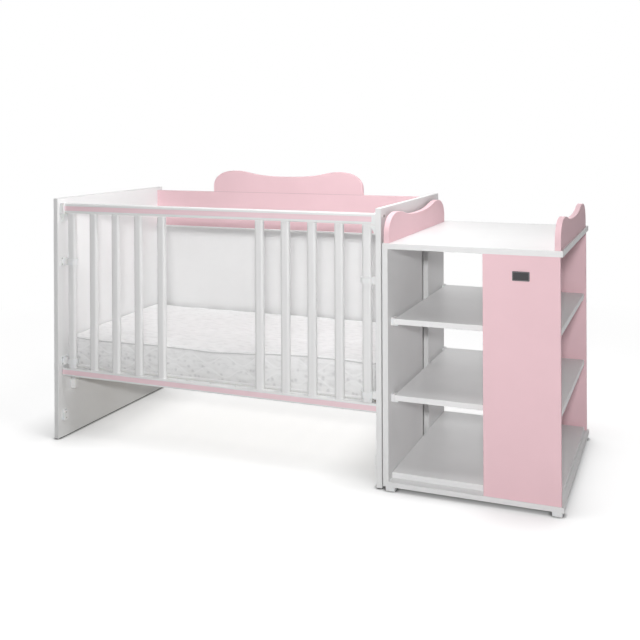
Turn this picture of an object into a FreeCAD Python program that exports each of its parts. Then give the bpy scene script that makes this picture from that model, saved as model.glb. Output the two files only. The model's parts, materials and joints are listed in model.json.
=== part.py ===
import FreeCAD, Part
import os

# A convertible crib: a cot with a drop gate, bolted to an open changing cabinet.
# Millimetres. X runs along the length with the cabinet at +X, the gate faces -Y, Z is up.
# The origin is on the floor, at the middle of the whole footprint.

# Cot
overall_length = 1838.0
cot_length = 1273.0
cot_depth = 720.0
cot_height = 890.0
panel_t = 18.0
board_t = 16.0
edge_r = 0.8
glide_t = 2.0
glide_size = (12.0, 60.0)
glide_inset = 70.0
glide_corner_r = 4.0
end_hole_r = 4.5
end_hole_below_top = 27.0

# Back of the cot
back_front = 680.0
back_panel_setback = 6.0
back_panel_bottom = 200.0
ledge_t = 6.0
ledge_nose = 8.0
ledge_nose_r = 2.0
back_rail_bottom = 727.0
back_rail_top = 877.0

# Eared boards: the crest on the back and the two guards on the cabinet
crest_length = 674.0
eared_height = 91.0
eared_valley = 68.5
eared_side = 24.0
ear_inset = 100.0
eared_edge_r = 1.5
ear_rise = 0.72
ear_turn = 0.40
saddle_start = 0.22
saddle_end = 0.5

# Gate
gate_front = 20.0
rail_depth = 30.0
top_rail_bottom = 835.0
top_rail_height = 36.0
bottom_rail_bottom = 231.0
bottom_rail_height = 30.0
rail_edge_r = 5.0
inlay_height = 17.0
inlay_depth = 3.0
slat_width = 32.0
slat_depth = 20.0
slat_edge_r = 9.0
slat_pitch = 96.4
slat_places = 13
slats_taken_out = (5, 6, 7)
tenon_r = 5.0
tenon_length = 12.0
end_cap_length = 16.0
end_cap_lip = 1.5
end_cap_front = 8.0
end_cap_leg = 34.0
end_cap_leg_reach = 6.0
cap_spigot = (6.0, 20.0)
gate_end_gap = 1.0
bottom_rail_end_gap = 4.0
gate_drop = 128.0

# Gate hardware on the end panels
guide_height = 32.0
guide_ring_height = 20.0
guide_wall = 4.0
guide_clearance = 0.7
guide_plate_t = 3.0
guide_plate_width = 34.0
guide_arm_width = 12.0
guide_flare_share = 0.95
mid_guide_z = 655.0
low_guide_z = 286.0
stop_size = (10.0, 30.0, 41.0)
stop_gap = 1.0
stop_corner_r = 13.0
stop_edge_r = 1.5

# Mattress and its base
mattress_size = (1200.0, 600.0, 130.0)
mattress_end_gap = 2.0
mattress_back_gap = 2.0
mattress_corner_r = 22.0
mattress_edge_r = 14.0
base_front = 57.0
base_depth = 620.0
base_top = 250.0
base_slat_t = 12.0
base_slat_width = 62.0
base_slat_count = 12
base_rail_size = (22.0, 24.0)
base_rail_inset = 17.0
base_end_gap = 2.0
base_edge_r = 2.0
support_height = 32.0
support_reach = 20.0
support_pad = (14.0, 10.0)
support_plate_t = 3.0
support_plate_width = 46.0
support_edge_r = 5.0
support_margin = 1.0
support_screw_inset = 25.0

# Cabinet
cabinet_gap = 8.0
cabinet_depth = 744.0
cabinet_height = 782.0
top_board_t = 18.0
foot_height = 15.0
foot_size = 30.0
foot_inset = 6.0
foot_pin_share = 0.65
foot_edge_r = 2.0
shelf_t = 18.0
shelf_tops = (295.0, 538.0)
shelf_front_setback = 38.0
shelf_right_setback = 13.0
bottom_shelf_gap = 0.5
clip_t = 10.0
clip_length = 26.0
clip_lip = 3.0
clip_screw_block = 10.0
clip_lip_reach = 12.0
clip_proud = 2.0
clip_floor = 4.0
clip_inset = 4.0
left_front_width = 405.0
left_rear_start = 480.0
panel_width = 230.0
pink_right_setback = 7.5
pink_setback = 2.0
guard_length = 706.0
guard_front_inset = 6.0
guard_left_inset = 3.0
guard_right_inset = 6.0
plate_size = (51.0, 2.0, 28.0)
plate_centre_z = 702.0
plate_corner_r = 2.0

# Fasteners
screw_shares = (0.25, 0.75)
dowel_shares = (0.12, 0.45, 0.88)
hole_gap = 0.2
hole_end_gap = 0.5
confirmat_head_r = 5.0
confirmat_head_length = 4.0
confirmat_neck_r = 3.5
confirmat_shank_r = 2.6
confirmat_shank_length = 36.0
confirmat_from_edge = 30.0
cover_cap_r = 6.5
cover_cap_t = 1.4
cover_cap_edge_r = 0.9
dowel_r = 4.0
dowel_length = 36.0
dowel_below_joint = 12.0
cam_r = 7.5
cam_t = 12.0
cam_below_joint = 24.0
cam_from_edge = 45.0
cam_spacing = 100.0
cam_bolt_r = 3.0
cam_bolt_in_top = 10.0
wood_screw_r = 1.8
wood_screw_length = 14.0
wood_screw_head_r = 3.4
wood_screw_head_t = 2.0
wood_screw_from_edge = 5.0
link_bolt_r = 3.0
link_head_r = 7.0
link_head_t = 2.5
link_sleeve_r = 4.5
link_sleeve_length = 12.0
link_spacer_r = 9.0
link_from_edge = 80.0
link_below_shelf = 30.0
glide_pin = (2.0, 12.0)
foot_pin = (4.0, 10.0)

X = FreeCAD.Vector(1, 0, 0)
Y = FreeCAD.Vector(0, 1, 0)
Z = FreeCAD.Vector(0, 0, 1)

# Places worked out from the driving dimensions
cot_left = -overall_length / 2 + cover_cap_t
cot_right = cot_left + cot_length
cot_front = -cot_depth / 2
cot_back = cot_front + cot_depth
inner_left = cot_left + panel_t
inner_right = cot_right - panel_t
inner_middle = (inner_left + inner_right) / 2

board_front = cot_front + back_front
board_middle = board_front + board_t / 2
back_panel_front = board_front + back_panel_setback
back_panel_middle = back_panel_front + board_t / 2
ledge_front = board_front - ledge_nose
ledge_bottom = back_rail_bottom - ledge_t

rail_front = cot_front + gate_front
rail_back = rail_front + rail_depth
gate_middle = (rail_front + rail_back) / 2
slat_bottom = bottom_rail_bottom + bottom_rail_height
slat_top = top_rail_bottom
slat_xs = [inner_middle + (i - (slat_places - 1) / 2) * slat_pitch for i in range(slat_places)]
kept_slat_xs = [x for i, x in enumerate(slat_xs) if i not in slats_taken_out]

mattress_left = inner_left + mattress_end_gap
mattress_y = ledge_front - mattress_back_gap - mattress_size[1]
base_middle = cot_front + base_front + base_depth / 2
base_rail_top = base_top - base_slat_t
base_rail_bottom = base_rail_top - base_rail_size[1]
base_rail_offset = base_depth / 2 - base_rail_inset - base_rail_size[0] / 2
support_top = base_rail_bottom - support_pad[1]

cab_left = cot_right + cabinet_gap
cab_right = overall_length / 2
cab_front = -cabinet_depth / 2
cab_back = cabinet_depth / 2
base_board_top = foot_height + board_t
top_board_bottom = cabinet_height - top_board_t
cab_inner_left = cab_left + panel_t
pink_right = cab_right - pink_right_setback
pink_left = pink_right - panel_width
pink_front = cab_front + pink_setback
pink_inner_front = pink_front + board_t
pink_inner_back = -pink_inner_front
shelf_left = cab_inner_left + clip_t
shelf_right = cab_right - shelf_right_setback
shelf_front = cab_front + shelf_front_setback
shelf_back = -shelf_front


def block(low, high):
    size = [b - a for a, b in zip(low, high)]
    return Part.makeBox(size[0], size[1], size[2], FreeCAD.Vector(*low))


def board(low, high, radius=edge_r):
    shape = block(low, high)
    return shape.makeFillet(radius, shape.Edges)


def edges_along(shape, axis):
    found = []
    for edge in shape.Edges:
        if isinstance(edge.Curve, Part.Line) and abs(edge.Curve.Direction.dot(axis)) > 0.999:
            found.append(edge)
    return found


def turned(origin, direction, steps, gap=0.0, end_gap=0.0):
    """A stack of cylinders along a direction; steps are (radius, length) pairs."""
    at = FreeCAD.Vector(*origin)
    shape = None
    for i, (radius, length) in enumerate(steps):
        extra = end_gap if i == len(steps) - 1 else 0.0
        piece = Part.makeCylinder(radius + gap, length + extra, at, direction)
        shape = piece if shape is None else shape.fuse(piece)
        at = at + direction * length
    return shape.removeSplitter()


def holes_for(fasteners):
    return [turned(*fastener, gap=hole_gap, end_gap=hole_end_gap) for fastener in fasteners]


def solids_of(fasteners):
    return [turned(*fastener) for fastener in fasteners]


def drilled(shape, fasteners):
    for hole in holes_for(fasteners):
        if hole.BoundBox.intersect(shape.BoundBox):
            shape = shape.cut(hole)
    return shape


def mirrored_in_cot(shape):
    return shape.mirror(FreeCAD.Vector(inner_middle, 0, 0), X)


def eared_face(length):
    """Outline of an eared board in X and Z, its foot from the origin along +X."""
    def bezier(*points):
        curve = Part.BezierCurve()
        curve.setPoles([FreeCAD.Vector(x, 0, z) for x, z in points])
        return curve.toShape()

    half = length / 2
    shoulder = [(0, eared_side), (0, ear_rise * eared_height), (ear_turn * ear_inset, eared_height),
                (ear_inset, eared_height)]
    saddle = [(ear_inset, eared_height), (ear_inset + saddle_start * half, eared_height),
              (saddle_end * half, eared_valley), (half, eared_valley)]
    foot_points = [(0, eared_side), (0, 0), (length, 0), (length, eared_side)]
    corners = [FreeCAD.Vector(x, 0, z) for x, z in foot_points]
    left = [bezier(*shoulder), bezier(*saddle)]
    right = [bezier(*[(length - x, z) for x, z in points]) for points in (shoulder, saddle)]
    foot = [Part.makeLine(a, b) for a, b in zip(corners, corners[1:])]
    return Part.Face(Part.Wire(Part.__sortEdges__(left + right + foot)))


def eared_board(corner, turn, length, thickness):
    """An eared board standing at corner, its length turned about Z by turn degrees."""
    shape = eared_face(length).extrude(Y * thickness)
    rims = [edge for edge in shape.Edges if abs(edge.Length - thickness) > 0.01]
    rims = [edge for edge in rims if edge.BoundBox.ZMax > 0.01]
    shape = shape.makeFillet(eared_edge_r, rims)
    shape.Placement = FreeCAD.Placement(FreeCAD.Vector(*corner), FreeCAD.Rotation(Z, turn))
    return shape


# Fasteners, each an (origin, direction, steps) triple

def confirmat(origin, direction, neck_length):
    steps = [(confirmat_head_r, confirmat_head_length),
             (confirmat_neck_r, neck_length - confirmat_head_length),
             (confirmat_shank_r, confirmat_shank_length)]
    return origin, direction, steps


def dowel(x, y, joint_z):
    """An upright dowel across the joint between two boards."""
    return (x, y, joint_z - dowel_below_joint), Z, [(dowel_r, dowel_length)]


def wood_screw(origin, direction):
    return origin, direction, [(wood_screw_head_r, wood_screw_head_t), (wood_screw_r, wood_screw_length)]


def frame_screws():
    screws = []
    back_panel_zs = (back_panel_bottom + confirmat_from_edge, (back_panel_bottom + ledge_bottom) / 2,
                     ledge_bottom - confirmat_from_edge)
    for x, direction in ((cot_left, X), (cot_right, -X)):
        for z in (back_rail_bottom + confirmat_from_edge, back_rail_top - confirmat_from_edge):
            screws.append(confirmat((x, board_middle, z), direction, panel_t))
        for z in back_panel_zs:
            screws.append(confirmat((x, back_panel_middle, z), direction, panel_t))
    return screws


def crest_left():
    return inner_middle - crest_length / 2


def guard_corners():
    y = cab_front + guard_front_inset
    return {"guard_left": (cab_left + guard_left_inset + panel_t, y, cabinet_height),
            "guard_right": (cab_right - guard_right_inset, y, cabinet_height)}


def board_dowels():
    dowels = []
    for share in dowel_shares:
        dowels.append(dowel(crest_left() + share * crest_length, board_middle, back_rail_top))
        for x, y, z in guard_corners().values():
            dowels.append(dowel(x - panel_t / 2, y + share * guard_length, z))
    return dowels


def cam_places():
    """Each cam in plan: on the upright's inner face, midway in the thickness, and the way in."""
    places = []
    for y in left_screw_ys():
        places.append(((cab_inner_left, y), (cab_left + panel_t / 2, y), X))
    for x in pink_screw_xs():
        places.append(((x, pink_inner_front), (x, pink_front + board_t / 2), Y))
        places.append(((x, pink_inner_back), (x, -pink_front - board_t / 2), -Y))
    return places


def left_screw_ys():
    """Two fastener lines in each left panel."""
    front_end = cab_front + left_front_width
    rear_start = cab_front + left_rear_start
    rear_end = rear_start + panel_width
    return (front_end - cam_spacing - cam_from_edge, front_end - cam_from_edge,
            rear_start + cam_from_edge, rear_end - cam_from_edge)


def pink_screw_xs():
    return pink_left + cam_from_edge, pink_right - cam_from_edge


def cam_bolts():
    length = cam_bolt_in_top + cam_below_joint
    return [((x, y, top_board_bottom - cam_below_joint), Z, [(cam_bolt_r, length)])
            for face, (x, y), inward in cam_places()]


def cam_locks():
    locks = []
    for (x, y), middle, inward in cam_places():
        face = FreeCAD.Vector(x, y, top_board_bottom - cam_below_joint)
        locks.append((tuple(face - inward * cam_t), inward, [(cam_r, cam_t)]))
    return locks


def base_screws():
    """Screws through the left panels into the base board, and up through it into the pink panels."""
    screws = []
    for y in left_screw_ys():
        screws.append(confirmat((cab_left, y, foot_height + board_t / 2), X, panel_t))
    for x in pink_screw_xs():
        for y in (pink_front + board_t / 2, -pink_front - board_t / 2):
            screws.append(confirmat((x, y, foot_height), Z, board_t))
    return screws


def link_places():
    front_y = cab_front + left_front_width - link_from_edge
    rear_y = cab_front + left_rear_start + link_from_edge
    return [(y, top - shelf_t - link_below_shelf) for y in (front_y, rear_y) for top in shelf_tops]


def link_bolts():
    bolts = []
    grip = panel_t + cabinet_gap + panel_t - link_sleeve_length
    for y, z in link_places():
        steps = [(link_head_r, link_head_t), (link_bolt_r, grip)]
        bolts.append(((inner_right - link_head_t, y, z), X, steps))
    return bolts


def link_nuts():
    steps = [(link_sleeve_r, link_sleeve_length), (link_head_r, link_head_t)]
    return [((cab_inner_left - link_sleeve_length, y, z), X, steps) for y, z in link_places()]


def guide_screws():
    """Screws through the gate guides and stops into the left end panel, then mirrored to the right."""
    screws = []
    half_height = guide_height / 2 - wood_screw_from_edge
    half_width = guide_plate_width / 2 - wood_screw_from_edge
    for z in (mid_guide_z, low_guide_z):
        for dz in (-half_height, half_height):
            for dy in (-half_width, half_width):
                screws.append(wood_screw((inner_left + guide_plate_t, gate_middle + dy, z + dz), -X))
    stop_y, stop_bottom = stop_place()
    for share in screw_shares:
        head = (inner_left + stop_size[0], stop_y + stop_size[1] / 2, stop_bottom + share * stop_size[2])
        screws.append(wood_screw(head, -X))
    return screws


def support_screws():
    screws = []
    for side in (-1, 1):
        y = base_middle + side * (base_rail_offset - support_screw_inset)
        for share in screw_shares:
            z = support_top - share * support_height
            screws.append(wood_screw((inner_left + support_plate_t, y, z), -X))
    return screws


def end_panel_screws():
    """All wood screws of the left end panel."""
    return guide_screws() + support_screws()


def clip_places():
    """Each shelf clip: (outer x, low y, way in from there, wall that it is screwed to)."""
    front = shelf_front - clip_proud
    back = shelf_back + clip_proud - clip_length
    return [(cab_inner_left, front, 1, -X),
            (cab_inner_left, back, 1, -X),
            (shelf_right - clip_inset, pink_inner_front, -1, -Y),
            (shelf_right - clip_inset, pink_inner_back - clip_length, -1, Y)]


def clip_screws():
    """At the left through the clip beside the shelf, at the right through the clip under the shelf."""
    screws = []
    for top in shelf_tops:
        bottom = top - shelf_t
        for x, y, way, wall in clip_places():
            middle_y = y + clip_length / 2
            if way > 0:
                head = (x + clip_floor, middle_y, top - shelf_t / 2)
            else:
                reach = clip_length / 2 - clip_floor
                head = (x - clip_lip_reach / 2, middle_y + wall.y * reach, bottom - clip_screw_block / 2)
            screws.append(wood_screw(head, wall))
    return screws


def clip_bores():
    """The way in for each clip screw, from its head out through the clip."""
    return [(head, -wall, [(wood_screw_head_r, clip_length)]) for head, wall, steps in clip_screws()]


# Cot

def end_panel(left):
    """Left end panel; the right one has the mirrored outline and the bolt holes of the cabinet."""
    shape = board((cot_left, cot_front, glide_t), (inner_left, cot_back, cot_height))
    hole_at = FreeCAD.Vector(cot_left, gate_middle, cot_height - end_hole_below_top)
    shape = shape.cut(Part.makeCylinder(end_hole_r, panel_t, hole_at, X))
    shape = drilled(shape, end_panel_screws() + glide_pins())
    if not left:
        shape = drilled(mirrored_in_cot(shape), link_bolts())
    return drilled(shape, frame_screws())


def glide_pins():
    pins = []
    for y in (cot_front + glide_inset, cot_back - glide_inset):
        pins.append(((cot_left + panel_t / 2, y, glide_t), Z, [glide_pin]))
    return pins


def end_panel_glides():
    glides = []
    width, length = glide_size
    for pin in glide_pins():
        x, y, z = pin[0]
        pad = block((x - width / 2, y - length / 2, 0), (x + width / 2, y + length / 2, glide_t))
        pad = pad.makeFillet(glide_corner_r, edges_along(pad, Z))
        glide = pad.fuse(turned(*pin)).removeSplitter()
        glides += [glide, mirrored_in_cot(glide)]
    return glides


def back_panel():
    low = (inner_left, back_panel_front, back_panel_bottom)
    high = (inner_right, back_panel_front + board_t, ledge_bottom)
    return drilled(board(low, high), frame_screws())


def back_ledge_strip():
    low = (inner_left, ledge_front, ledge_bottom)
    high = (inner_right, back_panel_front + board_t, back_rail_bottom)
    shape = block(low, high)
    noses = [edge for edge in edges_along(shape, X) if edge.BoundBox.YMax < board_front]
    return shape.makeFillet(ledge_nose_r, noses)


def back_rail_board():
    low = (inner_left, board_front, back_rail_bottom)
    high = (inner_right, board_front + board_t, back_rail_top)
    return drilled(board(low, high), frame_screws() + board_dowels())


def headboard_crest():
    corner = (crest_left(), board_front, back_rail_top)
    return drilled(eared_board(corner, 0, crest_length, board_t), board_dowels())


def screw_cover_caps():
    caps = []
    for origin, direction, steps in frame_screws():
        cap = Part.makeCylinder(cover_cap_r, cover_cap_t, FreeCAD.Vector(*origin), -direction)
        rims = [edge for edge in cap.Edges if isinstance(edge.Curve, Part.Circle)]
        free_rims = [edge for edge in rims if abs(edge.BoundBox.Center.x - origin[0]) > cover_cap_t / 2]
        caps.append(cap.makeFillet(cover_cap_edge_r, free_rims))
    return caps


# Gate

def gate_rail(left, right, bottom, height):
    shape = block((left, rail_front, bottom), (right, rail_back, bottom + height))
    return shape.makeFillet(rail_edge_r, edges_along(shape, X))


def inlay_block(left, right, bottom, height):
    low = bottom + (height - inlay_height) / 2
    return block((left, rail_front, low), (right, rail_front + inlay_depth, low + inlay_height))


def tenon_holes(z, direction):
    return [((x, gate_middle, z), direction, [(tenon_r, tenon_length)]) for x in slat_xs]


def top_rail_ends():
    inset = gate_end_gap + end_cap_length
    return inner_left + inset, inner_right - inset


def bottom_rail_ends():
    return inner_left + bottom_rail_end_gap, inner_right - bottom_rail_end_gap


def gate_top_rail():
    ends = top_rail_ends()
    shape = gate_rail(*ends, top_rail_bottom, top_rail_height)
    shape = shape.cut(inlay_block(*ends, top_rail_bottom, top_rail_height))
    return drilled(shape, tenon_holes(slat_top, Z) + cap_spigots())


def gate_bottom_rail():
    ends = bottom_rail_ends()
    shape = gate_rail(*ends, bottom_rail_bottom, bottom_rail_height)
    shape = shape.cut(inlay_block(*ends, bottom_rail_bottom, bottom_rail_height))
    return drilled(shape, tenon_holes(slat_bottom, -Z))


def gate_slat(x):
    low = (x - slat_width / 2, gate_middle - slat_depth / 2, slat_bottom)
    high = (x + slat_width / 2, gate_middle + slat_depth / 2, slat_top)
    shape = block(low, high)
    shape = shape.makeFillet(slat_edge_r, edges_along(shape, Z))
    for z, direction in ((slat_top, Z), (slat_bottom, -Z)):
        shape = shape.fuse(turned((x, gate_middle, z), direction, [(tenon_r, tenon_length)]))
    return shape.removeSplitter()


def cap_spigots():
    left, right = top_rail_ends()
    z = top_rail_bottom + top_rail_height / 2
    y = gate_middle + inlay_depth
    return [((left, y, z), X, [cap_spigot]), ((right, y, z), -X, [cap_spigot])]


def gate_end_cap():
    """Left end cap of the top rail: a lipped block with a leg that tapers down along the panel."""
    left = inner_left + gate_end_gap
    right = left + end_cap_length
    bottom = top_rail_bottom - end_cap_lip
    front = rail_front - end_cap_front
    low = (left, front, bottom)
    high = (right, rail_back + end_cap_lip, top_rail_bottom + top_rail_height + end_cap_lip)
    cap = block(low, high)
    cap = cap.makeFillet(rail_edge_r, edges_along(cap, X))
    leg_bottom = top_rail_bottom - end_cap_leg
    leg_right = right + end_cap_leg_reach
    outline = [(left, top_rail_bottom), (left, leg_bottom), (left + guide_wall, leg_bottom),
               (leg_right, top_rail_bottom - guide_wall), (leg_right, top_rail_bottom)]
    leg_front = front + rail_edge_r
    leg_depth = gate_middle + guide_arm_width / 2 - leg_front
    points = [FreeCAD.Vector(x, leg_front, z) for x, z in outline]
    leg = Part.Face(Part.makePolygon(points + points[:1])).extrude(Y * leg_depth)
    return cap.fuse([leg, turned(*cap_spigots()[0])]).removeSplitter()


def guide(z):
    """Left gate guide: a plate on the panel, a flared arm and the ring that the outer slat slides in."""
    slat_x = slat_xs[0]
    way_half_x = slat_width / 2 + guide_clearance
    way_half_y = slat_depth / 2 + guide_clearance
    ring_half_x = way_half_x + guide_wall
    ring_half_y = way_half_y + guide_wall
    half = guide_ring_height / 2
    plate = block((inner_left, gate_middle - guide_plate_width / 2, z - guide_height / 2),
                  (inner_left + guide_plate_t, gate_middle + guide_plate_width / 2, z + guide_height / 2))
    plate = plate.makeFillet(guide_wall, edges_along(plate, X))
    ring = block((slat_x - ring_half_x, gate_middle - ring_half_y, z - half),
                 (slat_x + ring_half_x, gate_middle + ring_half_y, z + half))
    ring = ring.makeFillet(slat_edge_r + guide_wall, edges_along(ring, Z))
    flare = guide_plate_t + guide_wall
    reach = slat_x - ring_half_x + guide_wall - inner_left
    foot = guide_flare_share * guide_height / 2
    outline = [(0, -foot), (flare, -foot), (reach, -half), (reach, half), (flare, foot), (0, foot)]
    arm_y = gate_middle - guide_arm_width / 2
    points = [FreeCAD.Vector(inner_left + x, arm_y, z + dz) for x, dz in outline]
    arm = Part.Face(Part.makePolygon(points + points[:1])).extrude(Y * guide_arm_width)
    way = block((slat_x - way_half_x, gate_middle - way_half_y, z - guide_height),
                (slat_x + way_half_x, gate_middle + way_half_y, z + guide_height))
    way = way.makeFillet(slat_edge_r, edges_along(way, Z))
    shape = plate.fuse([ring, arm]).cut(way).removeSplitter()
    return drilled(shape, guide_screws())


def stop_place():
    """Front and bottom of the left gate stop: the lowered bottom rail ends just above it."""
    top = bottom_rail_bottom - gate_drop - stop_gap
    return gate_middle - stop_size[1] / 2, top - stop_size[2]


def gate_stop():
    y, bottom = stop_place()
    depth, width, height = stop_size
    shape = block((inner_left, y, bottom), (inner_left + depth, y + width, bottom + height))
    shape = shape.makeFillet(stop_corner_r, edges_along(shape, X))
    rim = [edge for edge in shape.Edges if edge.BoundBox.XMin > inner_left + depth / 2]
    shape = shape.makeFillet(stop_edge_r, rim)
    return drilled(shape, guide_screws())


# Mattress and base

def mattress():
    top = base_top + mattress_size[2]
    shape = block((mattress_left, mattress_y, base_top),
                  (mattress_left + mattress_size[0], mattress_y + mattress_size[1], top))
    shape = shape.makeFillet(mattress_corner_r, edges_along(shape, Z))
    level = [edge for edge in shape.Edges if edge.BoundBox.ZLength < 0.01]
    return shape.makeFillet(mattress_edge_r, level)


def base_rail(side):
    y = base_middle + side * base_rail_offset
    low = (inner_left + base_end_gap, y - base_rail_size[0] / 2, base_rail_bottom)
    high = (inner_right - base_end_gap, y + base_rail_size[0] / 2, base_rail_top)
    return board(low, high, base_edge_r)


def base_slats():
    slats = []
    first = inner_left + base_slat_width
    pitch = (inner_right - inner_left - 2 * base_slat_width) / (base_slat_count - 1)
    reach = base_rail_offset + base_rail_size[0] / 2
    for i in range(base_slat_count):
        x = first + i * pitch
        slats.append(board((x - base_slat_width / 2, base_middle - reach, base_rail_top),
                           (x + base_slat_width / 2, base_middle + reach, base_top), base_edge_r))
    return slats


def base_supports():
    """Brackets on the end panels: a block with a pad under the rail's end and a plate with two screws."""
    supports = []
    pad_size, pad_height = support_pad
    bottom = support_top - support_height
    pad_left = inner_left + (support_reach - pad_size) / 2
    for side in (-1, 1):
        rail_y = base_middle + side * base_rail_offset
        half = base_rail_size[0] / 2 + support_margin
        outer = rail_y + side * half
        inner = rail_y - side * half
        plate_end = outer - side * support_plate_width
        ledge = block((inner_left, min(outer, inner), bottom),
                      (inner_left + support_reach, max(outer, inner), support_top))
        upright_edges = edges_along(ledge, Z)
        free_edges = [edge for edge in upright_edges if edge.BoundBox.XMin > inner_left + support_plate_t]
        ledge = ledge.makeFillet(support_edge_r, free_edges)
        plate = block((inner_left, min(outer, plate_end), bottom),
                      (inner_left + support_plate_t, max(outer, plate_end), support_top))
        pad = block((pad_left, rail_y - pad_size / 2, support_top),
                    (pad_left + pad_size, rail_y + pad_size / 2, base_rail_bottom))
        support = drilled(ledge.fuse([plate, pad]).removeSplitter(), support_screws())
        supports += [support, mirrored_in_cot(support)]
    return supports


# Cabinet

def cabinet_top():
    shape = board((cab_left, cab_front, top_board_bottom), (cab_right, cab_back, cabinet_height))
    return drilled(shape, cam_bolts() + board_dowels())


def cabinet_base():
    shape = board((cab_inner_left, cab_front, foot_height), (cab_right, cab_back, base_board_top))
    return drilled(shape, base_screws() + foot_pins())


def upright(low, high):
    shape = board(low, high)
    cams = cam_bolts() + cam_locks()
    links = link_nuts() + link_bolts()
    return drilled(shape, cams + links + base_screws() + clip_screws())


def cabinet_left_front_panel():
    end = cab_front + left_front_width
    return upright((cab_left, cab_front, foot_height), (cab_inner_left, end, top_board_bottom))


def cabinet_left_rear_panel():
    start = cab_front + left_rear_start
    end = start + panel_width
    return upright((cab_left, start, foot_height), (cab_inner_left, end, top_board_bottom))


def cabinet_front_panel():
    low = (pink_left, pink_front, base_board_top)
    return upright(low, (pink_right, pink_inner_front, top_board_bottom))


def cabinet_back_panel():
    low = (pink_left, pink_inner_back, base_board_top)
    return upright(low, (pink_right, -pink_front, top_board_bottom))


def shelf(left, top):
    return board((left, shelf_front, top - shelf_t), (shelf_right, shelf_back, top))


def cabinet_bottom_shelf():
    return shelf(cab_inner_left + bottom_shelf_gap, base_board_top + shelf_t)


def left_clip(x, y, top):
    """A block beside the shelf's left end, with a lip under it."""
    bottom = top - shelf_t
    end_y = y + clip_length
    wall_block = block((x, y, bottom - clip_lip), (x + clip_t, end_y, top + clip_lip))
    lip = block((x, y, bottom - clip_lip), (x + clip_t + clip_lip_reach, end_y, bottom))
    return wall_block.fuse(lip).removeSplitter()


def right_clip(x, y, top):
    """A block under the shelf, on the inner face of a pink panel."""
    bottom = top - shelf_t
    return block((x - clip_lip_reach, y, bottom - clip_screw_block), (x, y + clip_length, bottom))


def shelf_clips():
    clips = []
    for top in shelf_tops:
        for x, y, way, wall in clip_places():
            clip = left_clip(x, y, top) if way > 0 else right_clip(x, y, top)
            clips.append(drilled(clip, clip_screws() + clip_bores()))
    return clips


def foot_places():
    """Each foot: its outer corner in plan, and the ways in from there."""
    return [(x, y, way_x, way_y)
            for x, way_x in ((cab_left + foot_inset, 1), (cab_right - foot_inset, -1))
            for y, way_y in ((cab_front + foot_inset, 1), (cab_back - foot_inset, -1))]


def foot_pins():
    reach = foot_pin_share * foot_size
    return [((x + way_x * reach, y + way_y * reach, foot_height), Z, [foot_pin])
            for x, y, way_x, way_y in foot_places()]


def cabinet_feet():
    feet = []
    for (x, y, way_x, way_y), pin in zip(foot_places(), foot_pins()):
        low_x = min(x, x + way_x * foot_size)
        low_y = min(y, y + way_y * foot_size)
        foot = block((low_x, low_y, 0), (low_x + foot_size, low_y + foot_size, foot_height))
        foot = foot.makeFillet(foot_edge_r, edges_along(foot, Z))
        feet.append(foot.fuse(turned(*pin)).removeSplitter())
    return feet


def guard(name):
    return drilled(eared_board(guard_corners()[name], 90, guard_length, panel_t), board_dowels())


def blank_plate():
    middle = (pink_left + pink_right) / 2
    width, depth, height = plate_size
    shape = block((middle - width / 2, pink_front - depth, plate_centre_z - height / 2),
                  (middle + width / 2, pink_front, plate_centre_z + height / 2))
    return shape.makeFillet(plate_corner_r, edges_along(shape, Y))


def link_spacers():
    spacers = []
    for y, z in link_places():
        ring = Part.makeCylinder(link_spacer_r, cabinet_gap, FreeCAD.Vector(cot_right, y, z), X)
        spacers.append(drilled(ring, link_bolts()))
    return spacers


def both_sides(fasteners):
    left = solids_of(fasteners)
    return left + [mirrored_in_cot(shape) for shape in left]


def cam_lock_solids():
    bolts = cam_bolts()
    return [drilled(turned(*lock), bolts) for lock in cam_locks()]


def link_nut_solids():
    return [drilled(turned(*nut), link_bolts()) for nut in link_nuts()]


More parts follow.
